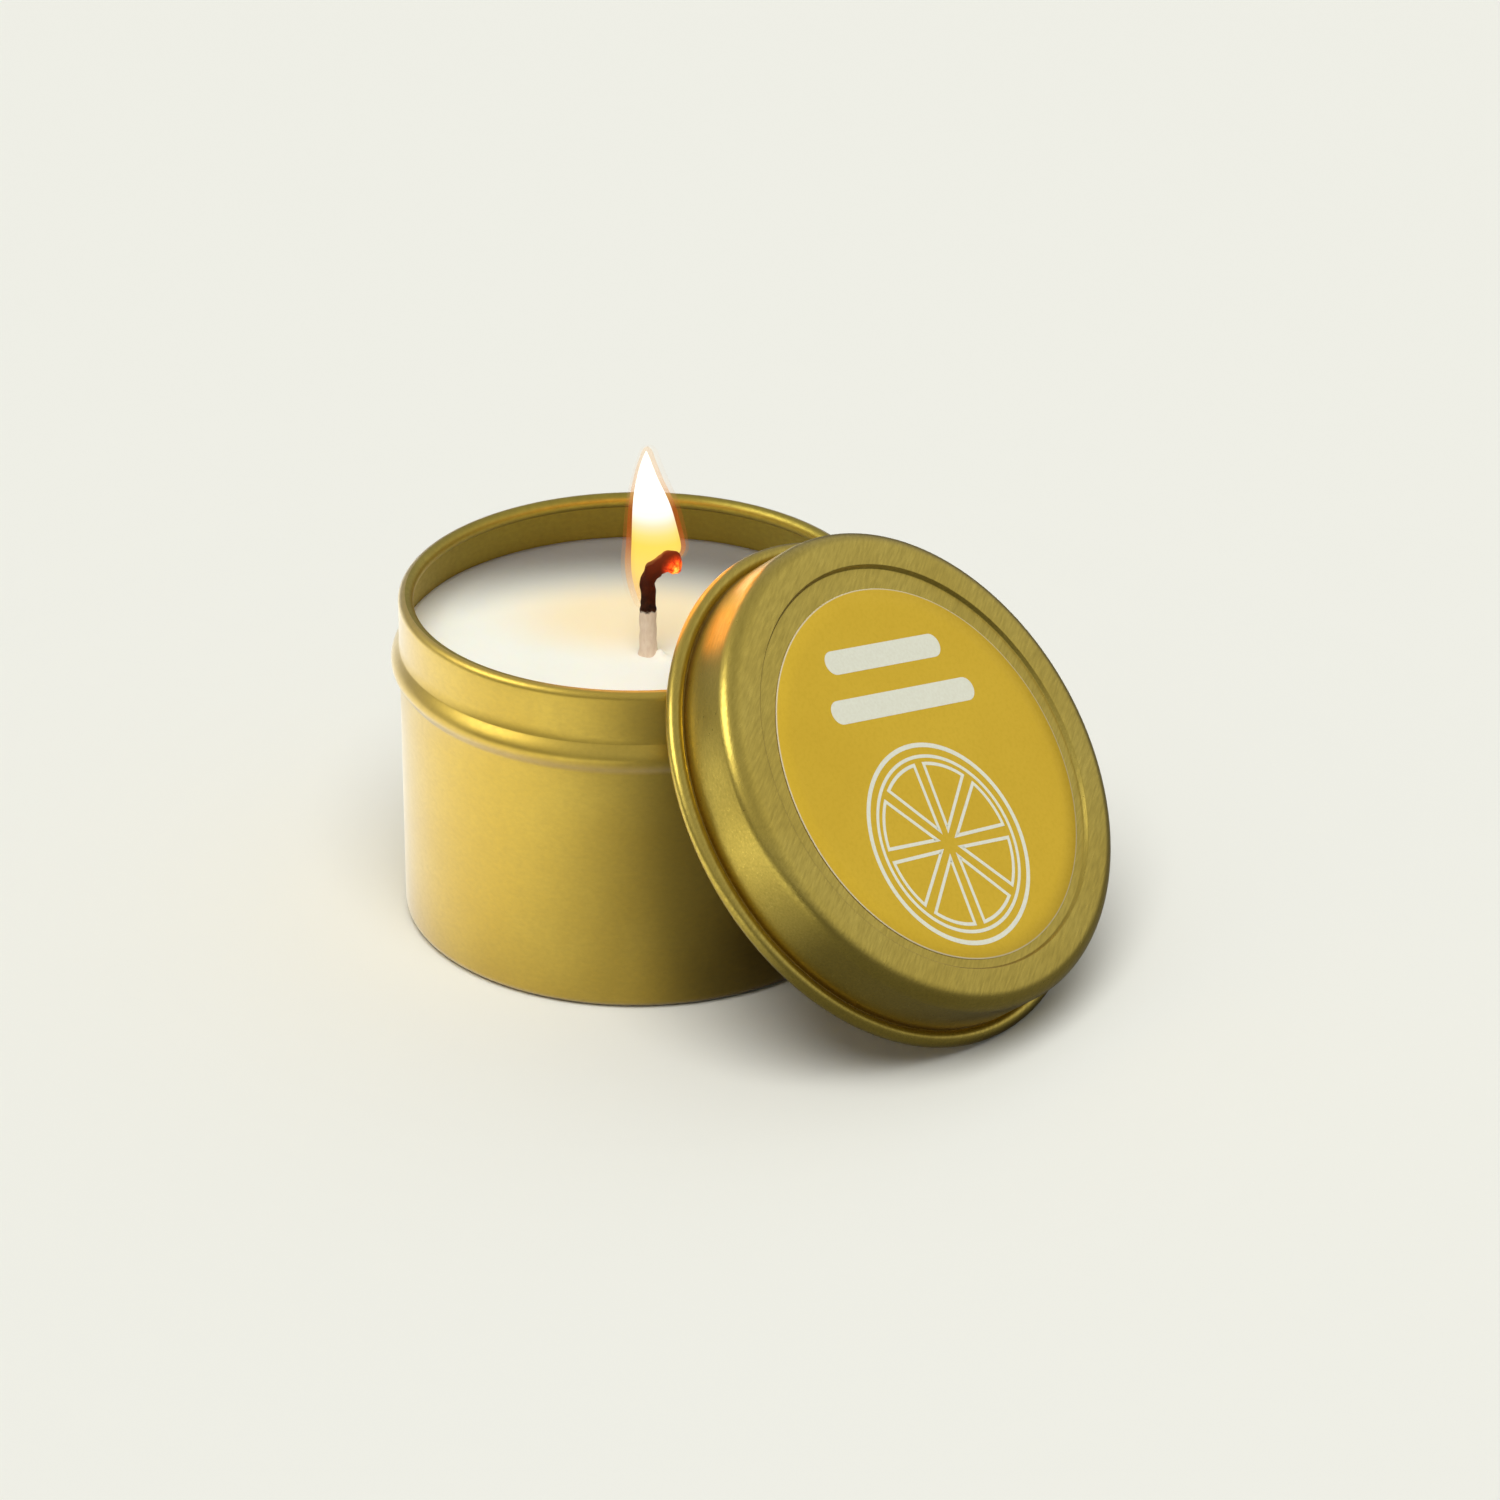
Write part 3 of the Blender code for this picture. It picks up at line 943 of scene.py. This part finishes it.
def makeWick():
    selectNone()
    radius = wickPlan["paleRadius"]
    bpy.ops.mesh.primitive_circle_add(vertices=wickPlan["around"], radius=radius, fill_type="TRIFAN")
    cord = startPiece("braided_wick")
    bpy.ops.mesh.select_mode(type="EDGE")
    bpy.ops.mesh.select_all(action="SELECT")
    bpy.ops.mesh.region_to_loop()
    steps = round(wickLength / wickPlan["ringStep"])
    for _ in range(steps):
        bpy.ops.mesh.extrude_edges_move(TRANSFORM_OT_translate={"value": (0, 0, wickLength / steps)})
    bpy.ops.mesh.extrude_edges_move(TRANSFORM_OT_translate={"value": (0, 0, 0)})
    bpy.ops.mesh.merge(type="CENTER")
    fixNormals()
    closePiece(cord)
    moveVertices(cord, wickSkin)
    cord.data.materials.append(wickMaterial())
    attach(cord, "tin")
    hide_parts("wick")


makeWick()
print("wick made")


flamePlan = dict(
    around=40,
    rings=70,
    # all in millimetres: the height above the wax, and how far the bright flame's left and right
    # sides stand from the wick there
    sides=((5.5, -0.8, -0.5), (6.9, -1.3, -0.4), (8.6, -1.8, 0.0), (10.3, -2.1, 0.8),
           (12.0, -2.15, 2.2), (12.9, -2.15, 3.9), (13.7, -2.1, 4.5), (15.5, -2.05, 4.2),
           (19.0, -1.95, 3.4), (20.8, -1.85, 2.85), (22.6, -1.65, 2.1), (24.3, -1.35, 1.35),
           (26.0, -0.95, 0.75), (27.3, -0.5, 0.3), (28.2, -0.2, 0.05)),
    soften=0.8,
    rise=(12, 12),          # what changes from low down to high up does so from this height, over this much
    behind=(3.0, 2.0),      # the flame stands behind the wick, by this much low down and high up
    deep=0.42,
    deepest=2.3,
    thinnest=0.02,
    roundEnds=1.2,
    # from the outside in: how much wider than the bright flame and how far aside, low down and high up,
    # then its colours and how solid it is, from its low end to its high end
    layers=(
        dict(name="flame_halo", grow=(1.15, 1.05), aside=(-0.20, 0.30), low=5.2, high=29.0, light=1.0,
             colours=((0.0, (1.0, 0.68, 0.34)), (0.30, (0.92, 0.50, 0.18)), (0.46, (0.50, 0.12, 0.02)),
                      (0.64, (0.50, 0.13, 0.02)), (0.75, (0.95, 0.62, 0.32)), (1.0, (1.0, 0.78, 0.50))),
             clear=((0.0, 0.01), (0.20, 0.05), (0.45, 0.12), (0.65, 0.13), (0.78, 0.05), (1.0, 0.05))),
        dict(name="flame_glow", grow=(0.70, 0.55), aside=(-0.10, 0.12), low=5.3, high=28.8, light=1.0,
             colours=((0.0, (1.0, 0.55, 0.20)), (0.27, (0.92, 0.42, 0.12)), (0.40, (0.62, 0.18, 0.04)),
                      (0.50, (0.45, 0.09, 0.012)), (0.64, (0.45, 0.10, 0.015)), (0.73, (0.95, 0.48, 0.16)),
                      (1.0, (1.0, 0.68, 0.34))),
             clear=((0.0, 0.05), (0.14, 0.22), (0.30, 0.32), (0.45, 0.42), (0.64, 0.40), (0.76, 0.26),
                    (1.0, 0.22))),
        dict(name="flame_body", grow=(0.0, 0.0), aside=(0, 0), low=5.5, high=28.2, light=1.7,
             colours=((0.0, (0.60, 0.26, 0.06)), (0.14, (0.68, 0.46, 0.12)), (0.29, (0.76, 0.60, 0.125)),
                      (0.36, (0.90, 0.70, 0.12)), (0.43, (0.98, 0.82, 0.13)), (0.50, (1.0, 0.90, 0.28)),
                      (0.56, (1.0, 0.96, 0.60)), (0.62, (1.2, 1.2, 1.1))),
             clear=((0.0, 0.10), (0.14, 0.40), (0.29, 0.70), (0.45, 0.80), (0.62, 0.92), (1.0, 0.80))),
        dict(name="flame_heart", grow=(-0.45, -0.35), aside=(0, 0), low=8.0, high=27.0, light=1.7,
             colours=((0.0, (0.68, 0.46, 0.12)), (0.21, (0.76, 0.60, 0.125)), (0.30, (0.90, 0.70, 0.12)),
                      (0.39, (0.98, 0.82, 0.13)), (0.48, (1.0, 0.90, 0.28)), (0.55, (1.0, 0.96, 0.60)),
                      (0.61, (1.2, 1.2, 1.1))),
             clear=((0.0, 0.10), (0.2, 0.70), (0.35, 0.95), (0.50, 1.0), (1.0, 1.0))),
    ),
)


def flameSides(height):
    # the outline at a height, as the mean of five straight readings close by
    rows = flamePlan["sides"]
    total = Vector((0, 0))
    for step in range(-2, 3):
        at = min(max(height + flamePlan["soften"] * step / 2, rows[0][0]), rows[-1][0])
        for before, after in zip(rows, rows[1:]):
            if at <= after[0]:
                share = (at - before[0]) / (after[0] - before[0])
                total += Vector(before[1:]).lerp(Vector(after[1:]), share)
                break
    return total / 5


def flameMaterial(layer):
    material, tree, shader = newMaterial(layer["name"])
    split = addNode(tree, "ShaderNodeSeparateXYZ")
    tree.links.new(pieceCoords(tree), split.inputs[0])
    low, high = (waxMiddle + layer[key] / 1000 for key in ("low", "high"))
    up = remap(tree, split.outputs["Z"], low, high, 0, 1)
    tree.links.new(addRamp(tree, up, layer["colours"]), shader.inputs["Emission Color"])
    clear = addRamp(tree, up, [(place, (value,) * 3) for place, value in layer["clear"]])
    tree.links.new(clear, shader.inputs["Alpha"])
    setInputs(shader, Roughness=1.0, Specular_IOR_Level=0.0, Emission_Strength=layer["light"])
    shader.inputs["Base Color"].default_value = (0, 0, 0, 1)
    return material


def makeFlame():
    for layer in flamePlan["layers"]:
        rings = flamePlan["rings"]
        start, tall = layer["low"], layer["high"] - layer["low"]
        outline = [(1.0, start + tall * (1 - cos(pi * ring / rings)) / 2) for ring in range(1, rings)]
        flame = turnPiece(layer["name"], outline + [(0.0, start + tall)], flamePlan["around"])

        def shape(point):
            # a unit tube in millimetres becomes the flame: outline sideways, a fuller oval in depth
            height = point.z
            left, right = flameSides(height)
            ends = min(height - start, start + tall - height) / flamePlan["roundEnds"]
            close = sqrt(max(1 - (1 - min(ends, 1)) ** 2, 0))
            rise = between(height, *flamePlan["rise"])
            pairs = (layer["grow"], layer["aside"], flamePlan["behind"])
            grow, aside, behind = (low + (high - low) * rise for low, high in pairs)
            wide = max((right - left) / 2 + grow, flamePlan["thinnest"]) * close
            deep = min(wide * 2 * flamePlan["deep"], flamePlan["deepest"] + grow)
            middle = (left + right) / 2 + aside
            millimetres = Vector((middle + point.x * wide, behind + point.y * deep, height))
            return wickPlace + millimetres / 1000 + Vector((0, 0, waxMiddle))

        moveVertices(flame, shape)
        selectOnly(flame)
        bpy.ops.object.mode_set(mode="EDIT")
        fixNormals(mergeGap=0.00001)
        closePiece(flame)
        flame.data.materials.append(flameMaterial(layer))
        flame.visible_shadow = False
        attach(flame, "tin")


makeFlame()
print("flame made")


tab = dict(
    colour=(0.62, 0.62, 0.60),
    dullColour=(0.50, 0.50, 0.48),
    grainScale=1500,
    roughness=(0.28, 0.42),
)
pad = dict(
    colour=(0.82, 0.82, 0.79),
    cellColour=(0.68, 0.68, 0.65),
    cellScale=2200,
    roughness=0.8,
)


def plainSteel():
    material, tree, shader = newMaterial("stampedSteel")
    grain = addNoise(tree, pieceCoords(tree), tab["grainScale"], 3, 0.6)
    colour = mixColours(tree, remap(tree, grain, *noiseRange, 0, 1), tab["colour"], tab["dullColour"])
    tree.links.new(colour, shader.inputs["Base Color"])
    tree.links.new(remap(tree, grain, *noiseRange, *tab["roughness"]), shader.inputs["Roughness"])
    shader.inputs["Metallic"].default_value = 1.0
    return material


def foamPad():
    material, tree, shader = newMaterial("adhesiveFoam")
    cells = addNoise(tree, pieceCoords(tree), pad["cellScale"], 4, 0.7)
    colour = mixColours(tree, remap(tree, cells, *noiseRange, 0, 1), pad["colour"], pad["cellColour"])
    tree.links.new(colour, shader.inputs["Base Color"])
    setInputs(shader, Roughness=pad["roughness"])
    addBump(tree, shader, cells, 0.5, 0.00005)
    return material


for nodeName, material in (("wick_sustainer", plainSteel()), ("wick_sticker", foamPad())):
    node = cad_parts[nodeName]
    node.data.materials.clear()
    node.data.materials.append(material)
print("tab and pad finished")


studio = dict(
    floorSize=8.0,
    floorColour=(0.890, 0.886, 0.806),
    # how bright the table looks in the metal, at distances from left to right of the tin's middle
    tableSeen=((-0.32, 0.12), (-0.15, 1.15), (-0.075, 1.62), (-0.045, 1.10), (-0.018, 0.62), (-0.004, 0.46),
               (0.012, 0.17)),
    # the same close to the tin, which begins to tell at the first of these depths and is full at the second
    tableClose=((-0.085, 1.60), (-0.045, 1.32), (-0.022, 0.86), (-0.004, 0.58), (0.012, 0.19)),
    closeFrom=(-0.062, -0.046),
    backdrop=(0.863, 0.863, 0.783),
    # how bright the room looks in the metal, from far left to far right
    roomSeen=((-0.95, 0.55), (-0.5, 0.52), (0.0, 0.46), (0.4, 0.52), (0.87, 0.74)),
    roomLow=0.12,           # how much of that is left near the table
    roomRise=(0.0, 0.4),
    sky=(0.08, 0.48),       # the soft light away from and towards where it is brightest
    skySpread=(-0.1, 0.9),
    skyFrom=(0.12, 0.10, 1.0),
    skyColour=(0.97, 0.98, 1.0),
    sun=dict(strength=2.05, angle=radians(44), comesFrom=(-0.07, -0.43, 0.90)),
    shine=dict(strength=0.95, angle=radians(34), comesFrom=(-0.75, -0.10, 0.65)),
    flameWatts=0.012,
    flameColour=(1.0, 0.36, 0.035),
    flameSize=0.013,
    flameHeight=0.018,
)


def brightnessAlong(tree, position, stops):
    # a smooth run of brightness through (position, value) stops
    low, high = stops[0][0], stops[-1][0]
    most = max(value for _, value in stops)
    greys = [((where - low) / (high - low), (value / most,) * 3) for where, value in stops]
    grey = addRamp(tree, remap(tree, position, low, high, 0, 1), greys, "EASE")
    return remap(tree, grey, 0, 1, 0, most)


def makeFloor():
    selectNone()
    bpy.ops.mesh.primitive_plane_add(size=studio["floorSize"], location=(0, 0, 0))
    floor = bpy.context.object
    floor.name = "studio_floor"
    material, tree, shader = newMaterial("paleTable")
    setInputs(shader, Roughness=1.0, Specular_IOR_Level=0.0)
    # painted reflection: the metal's reflections see the table brighter to the left of the tin and darker
    # to its right, and everything else sees it plain
    split = addNode(tree, "ShaderNodeSeparateXYZ")
    tree.links.new(pieceCoords(tree), split.inputs[0])
    close = remap(tree, split.outputs["Y"], *studio["closeFrom"], 0, 1, smooth=True)
    side = addNode(tree, "ShaderNodeMix", data_type="FLOAT")
    tree.links.new(close, side.inputs[0])
    tree.links.new(brightnessAlong(tree, split.outputs["X"], studio["tableSeen"]), side.inputs[2])
    tree.links.new(brightnessAlong(tree, split.outputs["X"], studio["tableClose"]), side.inputs[3])
    path = addNode(tree, "ShaderNodeLightPath")
    seen = addNode(tree, "ShaderNodeMix", data_type="FLOAT")
    tree.links.new(path.outputs["Is Glossy Ray"], seen.inputs[0])
    seen.inputs[2].default_value = 1.0
    tree.links.new(side.outputs[0], seen.inputs[3])
    shade = addNode(tree, "ShaderNodeVectorMath", operation="SCALE")
    shade.inputs[0].default_value = studio["floorColour"]
    tree.links.new(seen.outputs[0], shade.inputs["Scale"])
    tree.links.new(shade.outputs["Vector"], shader.inputs["Base Color"])
    floor.data.materials.append(material)


def makeSky():
    # a soft white room: one look for what shines, another for what it lights, and a plain backdrop
    world = bpy.data.worlds.new("softRoom")
    bpy.context.scene.world = world
    world.use_nodes = True
    tree = world.node_tree
    background = tree.nodes["Background"]
    coords = addNode(tree, "ShaderNodeTexCoord")
    split = addNode(tree, "ShaderNodeSeparateXYZ")
    tree.links.new(coords.outputs["Generated"], split.inputs[0])
    sides = brightnessAlong(tree, split.outputs["X"], studio["roomSeen"])
    high = remap(tree, split.outputs["Z"], *studio["roomRise"], studio["roomLow"], 1.0, smooth=True)
    gloss = addNode(tree, "ShaderNodeMath", operation="MULTIPLY")
    tree.links.new(sides, gloss.inputs[0])
    tree.links.new(high, gloss.inputs[1])
    towards = addNode(tree, "ShaderNodeVectorMath", operation="DOT_PRODUCT")
    towards.inputs[1].default_value = Vector(studio["skyFrom"]).normalized()
    tree.links.new(coords.outputs["Generated"], towards.inputs[0])
    fill = remap(tree, towards.outputs["Value"], *studio["skySpread"], *studio["sky"], smooth=True)
    path = addNode(tree, "ShaderNodeLightPath")
    lit = addNode(tree, "ShaderNodeMix", data_type="FLOAT")
    tree.links.new(path.outputs["Is Glossy Ray"], lit.inputs[0])
    tree.links.new(fill, lit.inputs[2])
    tree.links.new(gloss.outputs[0], lit.inputs[3])
    tinted = addNode(tree, "ShaderNodeVectorMath", operation="SCALE")
    tinted.inputs[0].default_value = studio["skyColour"]
    tree.links.new(lit.outputs[0], tinted.inputs["Scale"])
    seen = mixColours(tree, path.outputs["Is Camera Ray"], tinted.outputs["Vector"], studio["backdrop"])
    tree.links.new(seen, background.inputs["Color"])


def makeLights():
    # the sun lights what is dull, and the shine and the flame's glow only glint on the metal
    for name in ("sun", "shine"):
        light = bpy.data.lights.new(name, "SUN")
        light.energy = studio[name]["strength"]
        light.angle = studio[name]["angle"]
        holder = bpy.data.objects.new(name, light)
        holder.rotation_euler = Vector(studio[name]["comesFrom"]).to_track_quat("Z", "Y").to_euler()
        holder.visible_glossy = name == "shine"
        holder.visible_diffuse = name == "sun"
        bpy.context.scene.collection.objects.link(holder)
    glow = bpy.data.lights.new("flameGlow", "POINT")
    glow.energy = studio["flameWatts"]
    glow.color = studio["flameColour"]
    glow.shadow_soft_size = studio["flameSize"]
    glowObject = bpy.data.objects.new("flameGlow", glow)
    glowObject.visible_diffuse = False
    glowObject.location = wickPlace + Vector((0, 0, waxMiddle + studio["flameHeight"]))
    bpy.context.scene.collection.objects.link(glowObject)


camera = dict(
    aim=(0.01456, -0.0100, 0.02667),
    distance=0.7297,
    elevation=radians(27.04),
    turn=radians(1.283),
    roll=radians(0.19),
    lens=134.6,
    sensor=36,
)


def makeCamera():
    data = bpy.data.cameras.new("studioCamera")
    data.lens = camera["lens"]
    data.sensor_width = camera["sensor"]
    view = bpy.data.objects.new("studioCamera", data)
    view.rotation_euler = Euler((pi / 2 - camera["elevation"], 0, -camera["turn"]))
    view.matrix_world = view.rotation_euler.to_matrix().to_4x4() @ Matrix.Rotation(camera["roll"], 4, "Z")
    back = view.matrix_world.to_3x3() @ Vector((0, 0, camera["distance"]))
    view.matrix_world.translation = Vector(camera["aim"]) + back
    bpy.context.scene.collection.objects.link(view)
    bpy.context.scene.camera = view


makeFloor()
makeSky()
makeLights()
makeCamera()
bpy.context.scene.view_settings.view_transform = "Standard"
print("table, light and camera set")
